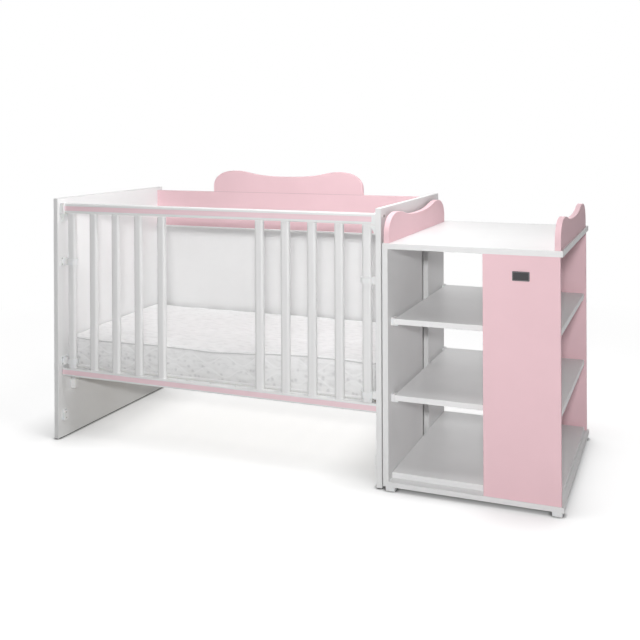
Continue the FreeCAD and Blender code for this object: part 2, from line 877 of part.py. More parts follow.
def nodes():
    made = {
        "left_end_panel": [end_panel(True)],
        "right_end_panel": [end_panel(False)],
        "end_panel_glides": end_panel_glides(),
        "back_panel": [back_panel()],
        "back_ledge_strip": [back_ledge_strip()],
        "back_rail_board": [back_rail_board()],
        "headboard_crest": [headboard_crest()],
        "frame_screws": solids_of(frame_screws()),
        "screw_cover_caps": screw_cover_caps(),
        "gate_top_rail": [gate_top_rail()],
        "gate_top_inlay": [inlay_block(*top_rail_ends(), top_rail_bottom, top_rail_height)],
        "gate_bottom_rail": [gate_bottom_rail()],
        "gate_bottom_inlay": [inlay_block(*bottom_rail_ends(), bottom_rail_bottom, bottom_rail_height)],
        "gate_end_cap_left": [gate_end_cap()],
        "gate_end_cap_right": [mirrored_in_cot(gate_end_cap())],
        "gate_mid_guide_left": [guide(mid_guide_z)],
        "gate_mid_guide_right": [mirrored_in_cot(guide(mid_guide_z))],
        "gate_low_guide_left": [guide(low_guide_z)],
        "gate_low_guide_right": [mirrored_in_cot(guide(low_guide_z))],
        "gate_stop_left": [gate_stop()],
        "gate_stop_right": [mirrored_in_cot(gate_stop())],
        "bracket_screws": both_sides(end_panel_screws()),
        "base_rail_front": [base_rail(-1)],
        "base_rail_rear": [base_rail(1)],
        "base_slats": base_slats(),
        "base_supports": base_supports(),
        "mattress": [mattress()],
        "cabinet_top": [cabinet_top()],
        "cabinet_base": [cabinet_base()],
        "cabinet_left_front_panel": [cabinet_left_front_panel()],
        "cabinet_left_rear_panel": [cabinet_left_rear_panel()],
        "cabinet_front_panel": [cabinet_front_panel()],
        "cabinet_back_panel": [cabinet_back_panel()],
        "cabinet_lower_shelf": [shelf(shelf_left, shelf_tops[0])],
        "cabinet_upper_shelf": [shelf(shelf_left, shelf_tops[1])],
        "cabinet_bottom_shelf": [cabinet_bottom_shelf()],
        "shelf_clips": shelf_clips(),
        "shelf_clip_screws": solids_of(clip_screws()),
        "cabinet_feet": cabinet_feet(),
        "cabinet_cam_locks": cam_lock_solids(),
        "cabinet_cam_bolts": solids_of(cam_bolts()),
        "cabinet_base_screws": solids_of(base_screws()),
        "guard_left": [guard("guard_left")],
        "guard_right": [guard("guard_right")],
        "board_dowels": solids_of(board_dowels()),
        "link_bolts": solids_of(link_bolts()),
        "link_spacers": link_spacers(),
        "link_nuts": link_nut_solids(),
        "blank_plate": [blank_plate()],
    }
    for i, x in enumerate(kept_slat_xs, start=1):
        made[f"gate_slat_{i:02d}"] = [gate_slat(x)]
    return made


os.makedirs("parts", exist_ok=True)
for name, solids in nodes().items():
    shape = solids[0] if len(solids) == 1 else Part.makeCompound(solids)
    shape.exportStep(os.path.join("parts", f"{name}.step"))
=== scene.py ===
import json
import math

import bpy
import numpy as np
from mathutils import Matrix, Vector, noise

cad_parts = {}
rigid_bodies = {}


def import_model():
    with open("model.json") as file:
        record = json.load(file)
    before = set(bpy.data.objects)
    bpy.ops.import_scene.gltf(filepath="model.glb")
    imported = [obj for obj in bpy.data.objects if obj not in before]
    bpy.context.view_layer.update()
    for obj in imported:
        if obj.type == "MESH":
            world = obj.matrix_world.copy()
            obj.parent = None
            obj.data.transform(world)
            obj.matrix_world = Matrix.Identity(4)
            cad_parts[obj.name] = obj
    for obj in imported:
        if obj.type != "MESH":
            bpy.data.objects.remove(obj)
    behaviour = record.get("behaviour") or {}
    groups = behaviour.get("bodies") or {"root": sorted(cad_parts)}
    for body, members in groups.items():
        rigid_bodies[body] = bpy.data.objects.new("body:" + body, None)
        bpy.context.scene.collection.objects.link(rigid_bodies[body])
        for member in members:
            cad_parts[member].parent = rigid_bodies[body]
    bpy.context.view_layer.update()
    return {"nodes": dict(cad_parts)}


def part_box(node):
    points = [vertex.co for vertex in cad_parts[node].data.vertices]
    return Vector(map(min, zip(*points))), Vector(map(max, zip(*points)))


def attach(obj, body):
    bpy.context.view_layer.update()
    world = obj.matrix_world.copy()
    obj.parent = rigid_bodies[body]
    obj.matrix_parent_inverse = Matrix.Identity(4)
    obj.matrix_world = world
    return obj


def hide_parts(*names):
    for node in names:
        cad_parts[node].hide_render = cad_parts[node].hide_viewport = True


# Looks of a convertible crib: materials on the boards and fittings, a quilted mattress, a studio.
# Metres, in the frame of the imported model.

# Camera
camera_place = (1.2512, -3.0762, 1.1445)
camera_yaw = 0.38543
camera_roll = -0.0045
camera_lens = 50.600
camera_sensor = 36.0
camera_shift_y = -0.2990

# Studio: levels of the floor, how far from the object its glow takes painted shade and a painted dark line,
# and where it turns plain white
floor_half = 30.0
floor_bounce = 0.95
floor_paper = 0.52
floor_lift = 0.78
floor_painted_shade_reach = 0.25
floor_painted_line_reach = 0.015
floor_fade = (1.6, 3.2)
sky_back = 1.98
lights = {
    "key_light": {"place": (1.30, -3.30, 1.45), "aim": (0.1, 0.0, 0.5),
                  "size": (0.24, 0.16), "watts": 54.5},
    "crib_light": {"place": (0.3, -0.35, 2.1), "aim": (-0.6, 0.0, 0.4),
                   "size": (1.0, 1.0), "watts": 20.6},
}

# Mattress: plan and grid
mattress_inset = 0.002
mattress_spread = 0.010
mattress_corner = 0.022
mattress_cell = 0.010
rim_steps = (0.0, 0.003, 0.006, 0.010, 0.015, 0.022)

# Mattress: how far the seam lies below the top, along the front from left to right, and elsewhere
front_seam_depths = (0.018, 0.023, 0.022, 0.019, 0.021, 0.023, 0.017, 0.008, 0.004, 0.004, 0.008)
back_seam_depth = 0.009
end_lift = 0.004
end_lift_reach = 0.060
end_lift_rise = 1.6

# Mattress: slope and bead of the top, then the rows of the side; profile points are the depth below the
# rim for the roll, or the height above the underside for the tape, with the outward offset
slope_width = 0.110
bead_height = 0.0040
bead_place = 0.009
bead_width = 0.009
roll_height = 0.004
roll_profile = ((0.0, -0.0040), (0.0010, -0.0012), (0.0024, 0.0), (0.0036, -0.0014))
seam_groove = 0.0070
seam_gap = 0.0024
band_steps = 14
band_swell = 0.0032
band_start = 0.08
band_fullness = 0.6
tape_height = 0.014
tape_profile = ((tape_height, -0.0030), (tape_height - 0.0015, 0.0), (0.0100, 0.0010), (0.0065, 0.0006),
                (0.0030, -0.0016), (0.0008, -0.0048), (0.0, -0.0090))

# Mattress: quilting and creases
quilt_spacing = 0.052
quilt_wave = 0.017
quilt_length = 0.137
quilt_groove = 0.0020
quilt_half_width = 0.012
top_quilt_share = 0.45
puff_limit = 0.006
crumple_height = 0.0028
crumple_held_loss = 0.6
crumple_broad = (11.0, 27.0, 38.0)
crumple_broad_share = 0.6
crumple_fine = (26.0, 80.0, 105.0)
crumple_fine_offset = 7.0
smooth_foot = 0.02
cloth_frames = 20

# Mattress: numbers of its materials; the seam's is a grey painted shade in its groove
top_kind, side_kind, tape_kind, seam_shade_kind = range(4)

# Mattress: loops, stitches and speckles of the cover
loop_relief = 0.35
thread_fade = (0.0020, 0.0050)
stitch_length = 0.0042
stitch_share = 0.72
thread_white = (0.99, 0.99, 0.99)
thread_cover = 0.9
speckle_scale = 46.0
speckle_least = 0.56
speckle_fade = (0.08, 0.40)
speckle_heights = (0.025, 0.060)
speckle_grey = (0.46, 0.46, 0.47)
speckle_cover = 0.34

# Boards and plate
# Hole near the top front corner of the end panels, filled with painted shade
hole_place = (0.0, -0.325, 0.863)
hole_rim = 0.0049
# Height of the crest's joint, and the height and tint of the painted shade line at it
crest_joint = 0.877
joint_shade_height = 0.0016
joint_shade_tint = 0.78
# Specular level of faces turned to the right: painted shade on that side
painted_shade_right_shine = 0.04
plate_line = 0.0019
plate_line_fade = (0.00035, 0.0006)

# Board faces, as specular level and roughness
satin = (0.20, 0.42)
dull_satin = (0.10, 0.50)
sleek = (0.45, 0.33)
pearl_spread = 0.10

# Colours
# Board core, darkened to stand in for the shade inside the hole
core_and_painted_shade = (0.20, 0.16, 0.12)
white = (0.85, 0.85, 0.85)
# Whiter ledge strip: painted highlight of the light it catches
ledge_painted_highlight_white = (0.95, 0.95, 0.95)
cover_white = (0.92, 0.92, 0.92)
# Lighter white of the shelves: painted light inside the cabinet
shelf_painted_light_white = (0.90, 0.90, 0.90)
pink = (0.90, 0.625, 0.67)
inlay_pink = (0.90, 0.68, 0.725)
plate_dark = (0.040, 0.040, 0.043)
plate_light = (0.30, 0.30, 0.30)

# Textures: stretches that draw a grain out along one axis, and the range that a noise mostly keeps to
along_x = (0.05, 1.0, 1.0)
along_y = (1.0, 0.05, 1.0)
along_z = (1.0, 1.0, 0.05)
foil_stretch = (0.03, 1.0, 1.0)
knit_stretch = (0.4, 1.0, 1.0)
noise_low = 0.3
noise_high = 0.7

# Length that counts as none
tiny = 1e-9


# Node helpers

def make_material(name, sockets):
    """A new material and its shader, with the given values on the shader's own sockets."""
    material = bpy.data.materials.new(name)
    material.use_nodes = True
    shader = material.node_tree.nodes["Principled BSDF"]
    for socket, value in sockets.items():
        shader.inputs[socket].default_value = value
    return material, shader


def add(material, kind, inputs=None, settings=None):
    """A new node; an input takes a value or the output of another node."""
    tree = material.node_tree
    node = tree.nodes.new(kind)
    for key, value in (settings or {}).items():
        setattr(node, key, value)
    for key, value in (inputs or {}).items():
        if isinstance(value, bpy.types.NodeSocket):
            tree.links.new(value, node.inputs[key])
        else:
            node.inputs[key].default_value = value
    return node


def join(material, output, socket):
    material.node_tree.links.new(output, socket)


def object_coordinates(material, stretch=(1.0, 1.0, 1.0)):
    place = add(material, "ShaderNodeTexCoord").outputs["Object"]
    return add(material, "ShaderNodeMapping", {"Vector": place, "Scale": stretch}).outputs["Vector"]


def flat_coordinates(material):
    """Place on the mattress's cover, in metres along and across it."""
    return add(material, "ShaderNodeUVMap", settings={"uv_map": "flat"}).outputs["UV"]


def split(material, vector):
    """The X, Y and Z of a vector."""
    return add(material, "ShaderNodeSeparateXYZ", {"Vector": vector}).outputs


def math_node(material, operation, a, b=0.0, c=0.0):
    return add(material, "ShaderNodeMath", {0: a, 1: b, 2: c}, {"operation": operation}).outputs["Value"]


def vector_math(material, operation, output, *vectors):
    inputs = dict(enumerate(vectors))
    return add(material, "ShaderNodeVectorMath", inputs, {"operation": operation}).outputs[output]


def noise_value(material, vector, scale, detail=3.0, roughness=0.55, distortion=0.0):
    inputs = {"Vector": vector, "Scale": scale, "Detail": detail, "Roughness": roughness,
              "Distortion": distortion}
    return add(material, "ShaderNodeTexNoise", inputs).outputs["Fac"]


def map_range(material, value, to_low, to_high, low=noise_low, high=noise_high):
    inputs = {"Value": value, "From Min": low, "From Max": high, "To Min": to_low, "To Max": to_high}
    return add(material, "ShaderNodeMapRange", inputs).outputs["Result"]


def near_to(material, distance, fade):
    """1 up to the first distance of the fade, 0 past its second."""
    return map_range(material, distance, 1.0, 0.0, *fade)


def ramp(material, value, stops):
    """A colour ramp from (position, colour) stops."""
    node = add(material, "ShaderNodeValToRGB", {"Fac": value})
    elements = node.color_ramp.elements
    while len(elements) < len(stops):
        elements.new(0.5)
    for element, (position, colour) in zip(elements, stops):
        element.position = position
        element.color = (*colour, 1.0)
    return node.outputs["Color"]


def colour_mix(material, share, colour, other):
    """The first colour where the share is 0, and the other, a plain one, where it is 1."""
    inputs = {0: share, 6: colour, 7: (*other, 1.0)}
    return add(material, "ShaderNodeMix", inputs, {"data_type": "RGBA"}).outputs[2]


def bump(material, shader, height, strength, distance):
    inputs = {"Height": height, "Strength": strength, "Distance": distance}
    join(material, add(material, "ShaderNodeBump", inputs).outputs["Normal"], shader.inputs["Normal"])


def tinted(colour, factor):
    return tuple(channel * factor for channel in colour)


def shades(colour, low, high):
    """Ramp stops for a noise: two tints of one colour."""
    return [(noise_low, tinted(colour, low)), (noise_high, tinted(colour, high))]


def grey(level):
    return level, level, level, 1.0


# Materials of boards and fittings

def hole_core_and_painted_shade(material, place, shade):
    """The board's core colour, darkened as painted shade, inside the hole near the top front corner; the
    shade elsewhere.
    """
    across = vector_math(material, "MULTIPLY", "Vector", place, (0.0, 1.0, 1.0))
    away = vector_math(material, "DISTANCE", "Value", across, hole_place)
    inside = math_node(material, "LESS_THAN", away, hole_rim)
    return colour_mix(material, inside, shade, core_and_painted_shade)


def joint_painted_shade(material, place, shade):
    """A line of painted shade at the foot of the crest, where it stands on the board below it."""
    inside = math_node(material, "LESS_THAN", split(material, place)["Z"], crest_joint + joint_shade_height)
    return colour_mix(material, inside, shade, tinted(pink, joint_shade_tint))


def faced_board(name, colour, face, detail=None):
    """Board with a melamine face: a fine pearl texture, faint cloudy shades, and less reflection on faces
    turned to the right as painted shade on that side; the detail, where there is one, draws on the shade."""
    shine, rough = face
    material, shader = make_material(name, {})
    place = object_coordinates(material)
    clouds = noise_value(material, place, scale=5.0, detail=4.0)
    shade = ramp(material, clouds, shades(colour, 0.975, 1.015))
    if detail:
        shade = detail(material, place, shade)
    join(material, shade, shader.inputs["Base Color"])
    facing = add(material, "ShaderNodeTexCoord").outputs["Normal"]
    to_right = split(material, facing)["X"]
    # Faces turned to the right reflect less: painted shade on that side
    join(material, map_range(material, to_right, shine, painted_shade_right_shine), shader.inputs["Specular IOR Level"])
    pearl = noise_value(material, place, scale=650.0, detail=2.0)
    join(material, map_range(material, pearl, rough, rough + pearl_spread), shader.inputs["Roughness"])
    bump(material, shader, pearl, strength=0.10, distance=0.0004)
    return material


def lacquered_wood(name, stretch):
    """White lacquer over wood, with the grain just showing through along one axis."""
    sockets = {"Specular IOR Level": 0.5, "Coat Weight": 0.15, "Coat Roughness": 0.22}
    material, shader = make_material(name, sockets)
    place = object_coordinates(material, stretch)
    grain = noise_value(material, place, scale=130.0, detail=5.0, roughness=0.6, distortion=0.4)
    join(material, ramp(material, grain, shades(white, 0.965, 1.02)), shader.inputs["Base Color"])
    join(material, map_range(material, grain, 0.30, 0.42), shader.inputs["Roughness"])
    bump(material, shader, grain, strength=0.16, distance=0.0005)
    return material


def pink_foil():
    """Foil strip let into the rails: glossier than the boards, with fine lengthwise drawing lines."""
    material, shader = make_material("pink_inlay_foil", {"Specular IOR Level": 0.5})
    lines = noise_value(material, object_coordinates(material, foil_stretch), scale=420.0)
    join(material, ramp(material, lines, shades(inlay_pink, 0.96, 1.02)), shader.inputs["Base Color"])
    join(material, map_range(material, lines, 0.28, 0.38), shader.inputs["Roughness"])
    bump(material, shader, lines, strength=0.12, distance=0.0003)
    return material


def moulded_plastic():
    """White plastic of caps, guides and feet, with the fine spark texture of the mould."""
    sockets = {"Specular IOR Level": 0.5, "Subsurface Weight": 0.04}
    material, shader = make_material("white_moulded_plastic", sockets)
    place = object_coordinates(material)
    spark = noise_value(material, place, scale=1400.0, detail=2.0)
    tone = noise_value(material, place, scale=40.0)
    join(material, ramp(material, tone, shades(white, 0.99, 1.03)), shader.inputs["Base Color"])
    join(material, map_range(material, spark, 0.26, 0.40), shader.inputs["Roughness"])
    bump(material, shader, spark, strength=0.12, distance=0.0002)
    return material


def zinc_steel():
    """Zinc plating of screws and bolts: a patchy bright and dull metal."""
    material, shader = make_material("zinc_plated_steel", {"Metallic": 1.0})
    place = object_coordinates(material)
    spangle = noise_value(material, place, scale=260.0, detail=4.0)
    stops = [(noise_low, (0.50, 0.50, 0.48)), (noise_high, (0.70, 0.70, 0.67))]
    join(material, ramp(material, spangle, stops), shader.inputs["Base Color"])
    join(material, map_range(material, spangle, 0.24, 0.46), shader.inputs["Roughness"])
    fine = noise_value(material, place, scale=1800.0, detail=2.0)
    bump(material, shader, fine, strength=0.10, distance=0.0002)
    return material


def bare_wood(name, stretch):
    """Planed softwood: growth rings drawn out along one axis, fine pores and a dry surface."""
    material, shader = make_material(name, {"Specular IOR Level": 0.3})
    place = object_coordinates(material, stretch)
    rings = noise_value(material, place, scale=34.0, detail=6.0, roughness=0.62, distortion=1.2)
    stops = [(0.25, (0.66, 0.56, 0.43)), (0.45, (0.77, 0.69, 0.57)), (0.6, (0.82, 0.75, 0.64)),
             (0.8, (0.74, 0.65, 0.52))]
    join(material, ramp(material, rings, stops), shader.inputs["Base Color"])
    pores = noise_value(material, place, scale=420.0, detail=4.0)
    join(material, map_range(material, pores, 0.5, 0.68), shader.inputs["Roughness"])
    bump(material, shader, pores, strength=0.25, distance=0.0006)
    return material


def plate_finish():
    """Dark satin plate with a fine lighter frame line near its rim."""
    material, shader = make_material("dark_satin_plate", {"Specular IOR Level": 0.4})
    low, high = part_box("blank_plate")
    spread = split(material, add(material, "ShaderNodeTexCoord").outputs["Generated"])
    rims = []
    for axis, size in (("X", high.x - low.x), ("Z", high.z - low.z)):
        off_middle = math_node(material, "SUBTRACT", spread[axis], 0.5)
        from_middle = math_node(material, "ABSOLUTE", off_middle)
        to_rim = math_node(material, "SUBTRACT", 0.5, from_middle)
        rims.append(math_node(material, "MULTIPLY", to_rim, size))
    nearest = math_node(material, "MINIMUM", *rims)
    off_line = math_node(material, "ABSOLUTE", math_node(material, "SUBTRACT", nearest, plate_line))
    line = near_to(material, off_line, plate_line_fade)
    colour = ramp(material, line, [(0.0, plate_dark), (1.0, plate_light)])
    join(material, colour, shader.inputs["Base Color"])
    brushed = noise_value(material, object_coordinates(material, along_x), scale=1500.0, detail=2.0)
    join(material, map_range(material, brushed, 0.36, 0.5), shader.inputs["Roughness"])
    bump(material, shader, brushed, strength=0.1, distance=0.0002)
    return material


# Materials of the mattress

def quilt_distance(material, u, v):
    """Distance to the nearest quilting line: each is a wave along u, every second one turned over."""
    row = math_node(material, "ROUND", math_node(material, "DIVIDE", v, quilt_spacing))
    odd = math_node(material, "PINGPONG", row, 1.0)
    way = math_node(material, "SUBTRACT", 1.0, math_node(material, "MULTIPLY", odd, 2.0))
    angle = math_node(material, "MULTIPLY", u, 2 * math.pi / quilt_length)
    wave = math_node(material, "MULTIPLY", math_node(material, "SINE", angle), quilt_wave)
    turned = math_node(material, "MULTIPLY", wave, way)
    line = math_node(material, "MULTIPLY_ADD", row, quilt_spacing, turned)
    return math_node(material, "ABSOLUTE", math_node(material, "SUBTRACT", v, line))


def stitches(material, u, v):
    """1 on the thread of the quilting lines, which is broken into stitches."""
    thread = near_to(material, quilt_distance(material, u, v), thread_fade)
    dash = math_node(material, "FRACT", math_node(material, "DIVIDE", u, stitch_length))
    return math_node(material, "MULTIPLY", thread, math_node(material, "LESS_THAN", dash, stitch_share))


def speckles(material, flat, v):
    """Scattered soft dots in the lower half of the band: in some cells only, strongest at their middles."""
    inputs = {"Vector": flat, "Scale": speckle_scale}
    cells = add(material, "ShaderNodeTexVoronoi", inputs, {"voronoi_dimensions": "2D"}).outputs
    kept = math_node(material, "GREATER_THAN", cells["Color"], speckle_least)
    dots = math_node(material, "MULTIPLY", near_to(material, cells["Distance"], speckle_fade), kept)
    return math_node(material, "MULTIPLY", dots, near_to(material, v, speckle_heights))


def knitted_cover(name, speckled):
    """Knitted mattress cover: fine loops and stitched quilting lines, on the sides with grey speckles and
    white thread."""
    sockets = {"Roughness": 0.85, "Specular IOR Level": 0.2, "Sheen Weight": 0.15, "Sheen Roughness": 0.5}
    material, shader = make_material(name, sockets)
    flat = flat_coordinates(material)
    parts = split(material, flat)
    stitch = stitches(material, parts["X"], parts["Y"])
    loops = add(material, "ShaderNodeTexVoronoi", {"Vector": flat, "Scale": 620.0}).outputs["Distance"]
    drawn = add(material, "ShaderNodeMapping", {"Vector": flat, "Scale": knit_stretch}).outputs["Vector"]
    tone = noise_value(material, drawn, scale=70.0, detail=4.0)
    stops = shades(cover_white, 0.90, 1.03)
    stops.insert(1, (0.5, cover_white))
    colour = ramp(material, tone, stops)
    if speckled:
        speckle = math_node(material, "MULTIPLY", speckles(material, flat, parts["Y"]), speckle_cover)
        colour = colour_mix(material, speckle, colour, speckle_grey)
        thread = math_node(material, "MULTIPLY", stitch, thread_cover)
        colour = colour_mix(material, thread, colour, thread_white)
    join(material, colour, shader.inputs["Base Color"])
    relief = math_node(material, "ADD", math_node(material, "MULTIPLY", loops, loop_relief), stitch)
    bump(material, shader, relief, strength=0.35, distance=0.0008)
    return material


def seam_painted_shade():
    """Grey painted shade in the seam's groove under the rolled edge, with a twisted-thread texture."""
    sockets = {"Roughness": 0.9, "Specular IOR Level": 0.15}
    material, shader = make_material("mattress_seam_painted_shade", sockets)
    inputs = {"Vector": flat_coordinates(material), "Scale": 300.0}
    twist = add(material, "ShaderNodeTexWave", inputs).outputs["Fac"]
    stops = [(0.2, (0.62, 0.62, 0.62)), (0.8, (0.74, 0.74, 0.74))]
    join(material, ramp(material, twist, stops), shader.inputs["Base Color"])
    bump(material, shader, twist, strength=0.3, distance=0.0005)
    return material


def binding_tape():
    """Woven tape over the mattress's bottom edge: close ribs across it."""
    sockets = {"Roughness": 0.8, "Specular IOR Level": 0.25, "Sheen Weight": 0.2}
    material, shader = make_material("mattress_binding_tape", sockets)
    inputs = {"Vector": flat_coordinates(material), "Scale": 260.0, "Distortion": 1.5, "Detail": 2.0}
    ribs = add(material, "ShaderNodeTexWave", inputs).outputs["Fac"]
    stops = [(0.2, cover_white), (0.8, tinted(cover_white, 1.1))]
    join(material, ramp(material, ribs, stops), shader.inputs["Base Color"])
    bump(material, shader, ribs, strength=0.3, distance=0.0006)
    return material


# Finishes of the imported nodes

def slot_finishes():
    """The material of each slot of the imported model."""
    return {"white_board": faced_board("white_melamine", white, satin),
            "pink_board": faced_board("pink_melamine", pink, dull_satin),
            "pink_inlay": pink_foil(),
            "white_lacquer": lacquered_wood("white_lacquer_level", along_x),
            "white_plastic": moulded_plastic(),
            "zinc_steel": zinc_steel(),
            "bare_wood": bare_wood("bare_wood_level", along_x),
            "grey_plate": plate_finish(),
            "mattress_cover": knitted_cover("mattress_cover_top", False)}


def own_finishes():
    """Materials of the nodes that differ from their slot: another white with painted light on the shelves and
    a painted highlight on the ledge, a hole and a joint with painted shade, a grain across.
    """
    # Shelves: painted light
    shelf = faced_board("white_melamine_shelf_painted_light", shelf_painted_light_white, sleek)
    # End panels: painted shade inside their hole
    drilled = faced_board("white_melamine_hole_painted_shade", white, satin, hole_core_and_painted_shade)
    return {"base_slats": bare_wood("bare_wood_across", along_y),
            # Ledge strip: painted highlight
            "back_ledge_strip": faced_board("white_melamine_ledge_painted_highlight", ledge_painted_highlight_white, satin),
            "cabinet_top": faced_board("white_melamine_top", white, sleek),
            # Crest: painted shade line at its joint
            "headboard_crest": faced_board("pink_melamine_crest", pink, dull_satin, joint_painted_shade),
            "left_end_panel": drilled,
            "right_end_panel": drilled,
            "cabinet_upper_shelf": shelf,
            "cabinet_lower_shelf": shelf,
            "cabinet_bottom_shelf": shelf}


def dress_nodes(nodes):
    """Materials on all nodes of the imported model; gives those of the slots."""
    finishes = slot_finishes()
    own = own_finishes()
    upright_lacquer = lacquered_wood("white_lacquer_upright", along_z)
    for name, node in nodes.items():
        for slot in node.material_slots:
            slot.material = finishes[slot.material.name]
        if name.startswith("gate_slat"):
            node.material_slots[0].material = upright_lacquer
        if name in own:
            node.material_slots[0].material = own[name]
    return finishes


# Shape of the mattress

def smooth_share(value):
    """A soft step from 0 to 1."""
    share = max(0.0, min(1.0, value))
    return share * share * (3 - 2 * share)


def side_rows(height):
    """Rows down the side, as (depth below the rim, outward offset, kind of the faces below): a rolled edge,
    the seam's groove, the band, and the tape that turns under the bottom edge."""
    rows = [(depth, offset, top_kind) for depth, offset in roll_profile]
    # The groove's faces take the seam's painted shade
    rows.append((roll_height, -seam_groove, seam_shade_kind))
    band_top = roll_height + seam_gap
    band_bottom = height - tape_height
    for step in range(band_steps):
        share = step / band_steps
        swell = band_swell * math.sin(math.pi * (band_start + (1 - band_start) * share)) ** band_fullness
        rows.append((band_top + share * (band_bottom - band_top), swell - band_swell, side_kind))
    rows += [(height - rise, offset, tape_kind) for rise, offset in tape_profile]
    return rows


def rounded_plan(x, y, half):
    """Moves a point of a rectangle so that the rectangle's corners become round; gives the way out too."""
    radius = mattress_corner - mattress_inset
    inner_x = max(-half[0] + radius, min(half[0] - radius, x))
    inner_y = max(-half[1] + radius, min(half[1] - radius, y))
    dx = x - inner_x
    dy = y - inner_y
    length = math.hypot(dx, dy)
    if length < tiny:
        return (x, y), (0.0, 0.0)
    scale = max(abs(dx), abs(dy)) / length
    return (inner_x + dx * scale, inner_y + dy * scale), (dx / length, dy / length)


def quilt_gap(u, v):
    """Distance to the nearest quilting line, as quilt_distance gives it to the material."""
    row = round(v / quilt_spacing)
    way = -1.0 if row % 2 else 1.0
    line = row * quilt_spacing + way * quilt_wave * math.sin(2 * math.pi * u / quilt_length)
    return abs(v - line)


def groove(gap):
    """1 on a quilting line, 0 away from it."""
    share = min(1.0, gap / quilt_half_width)
    return (1 - share) ** 2 * (1 + 2 * share)


def seam_depth(x, y, half):
    """Depth of the seam below the mattress's top: an uneven front edge, a level back, a raised left end."""
    last = len(front_seam_depths) - 1
    place = (x / half[0] + 1) / 2 * last
    before = max(0, min(last - 1, int(place)))
    share = smooth_share(place - before)
    front = front_seam_depths[before] * (1 - share) + front_seam_depths[before + 1] * share
    toward_back = smooth_share((y / half[1] + 1) / 2)
    near_end = 1 - smooth_share((x + half[0]) / end_lift_reach)
    raised = end_lift * near_end * smooth_share(end_lift_rise * (y / half[1] + 1))
    return front * (1 - toward_back) + back_seam_depth * toward_back - raised


def top_depth(x, y, half):
    """Depth of the cover's top below the highest level: it slopes to the rim and has a bead along it."""
    gap = min(half[0] - abs(x), half[1] - abs(y))
    at_rim = seam_depth(x, y, half) - roll_height
    bead = bead_height * math.exp(-((gap - bead_place) / bead_width) ** 2)
    return at_rim * (1 - smooth_share(gap / slope_width)) - bead


def spaced(length):
    """Places along one side of the grid, closer together near both ends."""
    half = length / 2
    inner = half - rim_steps[-1]
    count = round(2 * inner / mattress_cell)
    middle = [-inner + 2 * inner * i / count for i in range(1, count)]
    near = [-half + step for step in rim_steps]
    return near + middle + [-x for x in reversed(near)]


def rim_of(columns, rows):
    """Grid places round the rim, counter-clockwise from the first corner."""
    rim = [(i, 0) for i in range(columns - 1)]
    rim += [(columns - 1, j) for j in range(rows - 1)]
    rim += [(i, rows - 1) for i in range(columns - 1, 0, -1)]
    return rim + [(0, j) for j in range(rows - 1, 0, -1)]


class Cover:
    """The mattress's cover while it is built: its plan, and the vertices, pin weights, faces, flat
    coordinates and material numbers gathered so far."""

    def __init__(self, low, high):
        size = high - low
        self.low = low
        self.high = high
        self.centre = (low + high) / 2
        self.half = (size.x / 2 - mattress_inset, size.y / 2 - mattress_inset)
        self.xs = spaced(2 * self.half[0])
        self.ys = spaced(2 * self.half[1])
        self.rim = rim_of(len(self.xs), len(self.ys))
        self.around = self.rim_distances()
        self.rows = side_rows(size.z)
        self.band_bottom = size.z - tape_height
        self.points = []
        self.pins = []
        self.faces = []
        self.flats = []
        self.kinds = []

    def rim_distances(self):
        """Distance along the rim to each of its places, and the whole way round at the end."""
        around = [0.0]
        for (i, j), (k, m) in zip(self.rim, self.rim[1:] + self.rim[:1]):
            around.append(around[-1] + math.hypot(self.xs[k] - self.xs[i], self.ys[m] - self.ys[j]))
        return around

    def flat_height(self, depth):
        """Height on the flat side for a depth below the rim; diamonds lie along the band's middle."""
        band_middle = (roll_height + self.band_bottom) / 2
        return band_middle - depth + quilt_spacing / 2

    def vertex(self, x, y, z, pin):
        self.points.append((self.centre.x + x, self.centre.y + y, z))
        self.pins.append(pin)
        return len(self.points) - 1

    def face(self, corners, flat, kind):
        self.faces.append(corners)
        self.flats.append(flat)
        self.kinds.append(kind)


def side_ring(cover, depth, offset, kind):
    """One row of vertices round the side; in the band the quilting lines are held and drawn in."""
    ring = []
    for (i, j), along in zip(cover.rim, cover.around):
        pin = 1.0
        reach = offset
        if kind == side_kind:
            pin = groove(quilt_gap(along, cover.flat_height(depth)))
            reach = offset - quilt_groove * pin
        (x, y), out = rounded_plan(cover.xs[i], cover.ys[j], cover.half)
        drop = top_depth(cover.xs[i], cover.ys[j], cover.half) * max(0.0, 1.0 - depth / cover.band_bottom)
        z = cover.high.z - depth - drop
        ring.append(cover.vertex(x + out[0] * reach, y + out[1] * reach, z, pin))
    return ring


def add_side(cover):
    """Faces round the side; gives its first and last ring of vertices."""
    rings = [side_ring(cover, *row) for row in cover.rows]
    for number in range(len(rings) - 1):
        upper = rings[number]
        lower = rings[number + 1]
        v_top = cover.flat_height(cover.rows[number][0])
        v_low = cover.flat_height(cover.rows[number + 1][0])
        kind = cover.rows[number][2]
        for index in range(len(upper)):
            after = (index + 1) % len(upper)
            u_near = cover.around[index]
            u_far = cover.around[index + 1]
            corners = (upper[index], lower[index], lower[after], upper[after])
            flat = ((u_near, v_top), (u_near, v_low), (u_far, v_low), (u_far, v_top))
            cover.face(corners, flat, kind)
    return rings[0], rings[-1]


def sheet_vertex(cover, x, y, on_top):
    """A vertex inside the rim; on top it lies lower at the quilting lines, which are partly held."""
    (plan_x, plan_y), _ = rounded_plan(x, y, cover.half)
    if not on_top:
        return cover.vertex(plan_x, plan_y, cover.low.z, 1.0)
    pin = top_quilt_share * groove(quilt_gap(x, y))
    z = cover.high.z - top_depth(x, y, cover.half) - quilt_groove * pin
    return cover.vertex(plan_x, plan_y, z, pin)


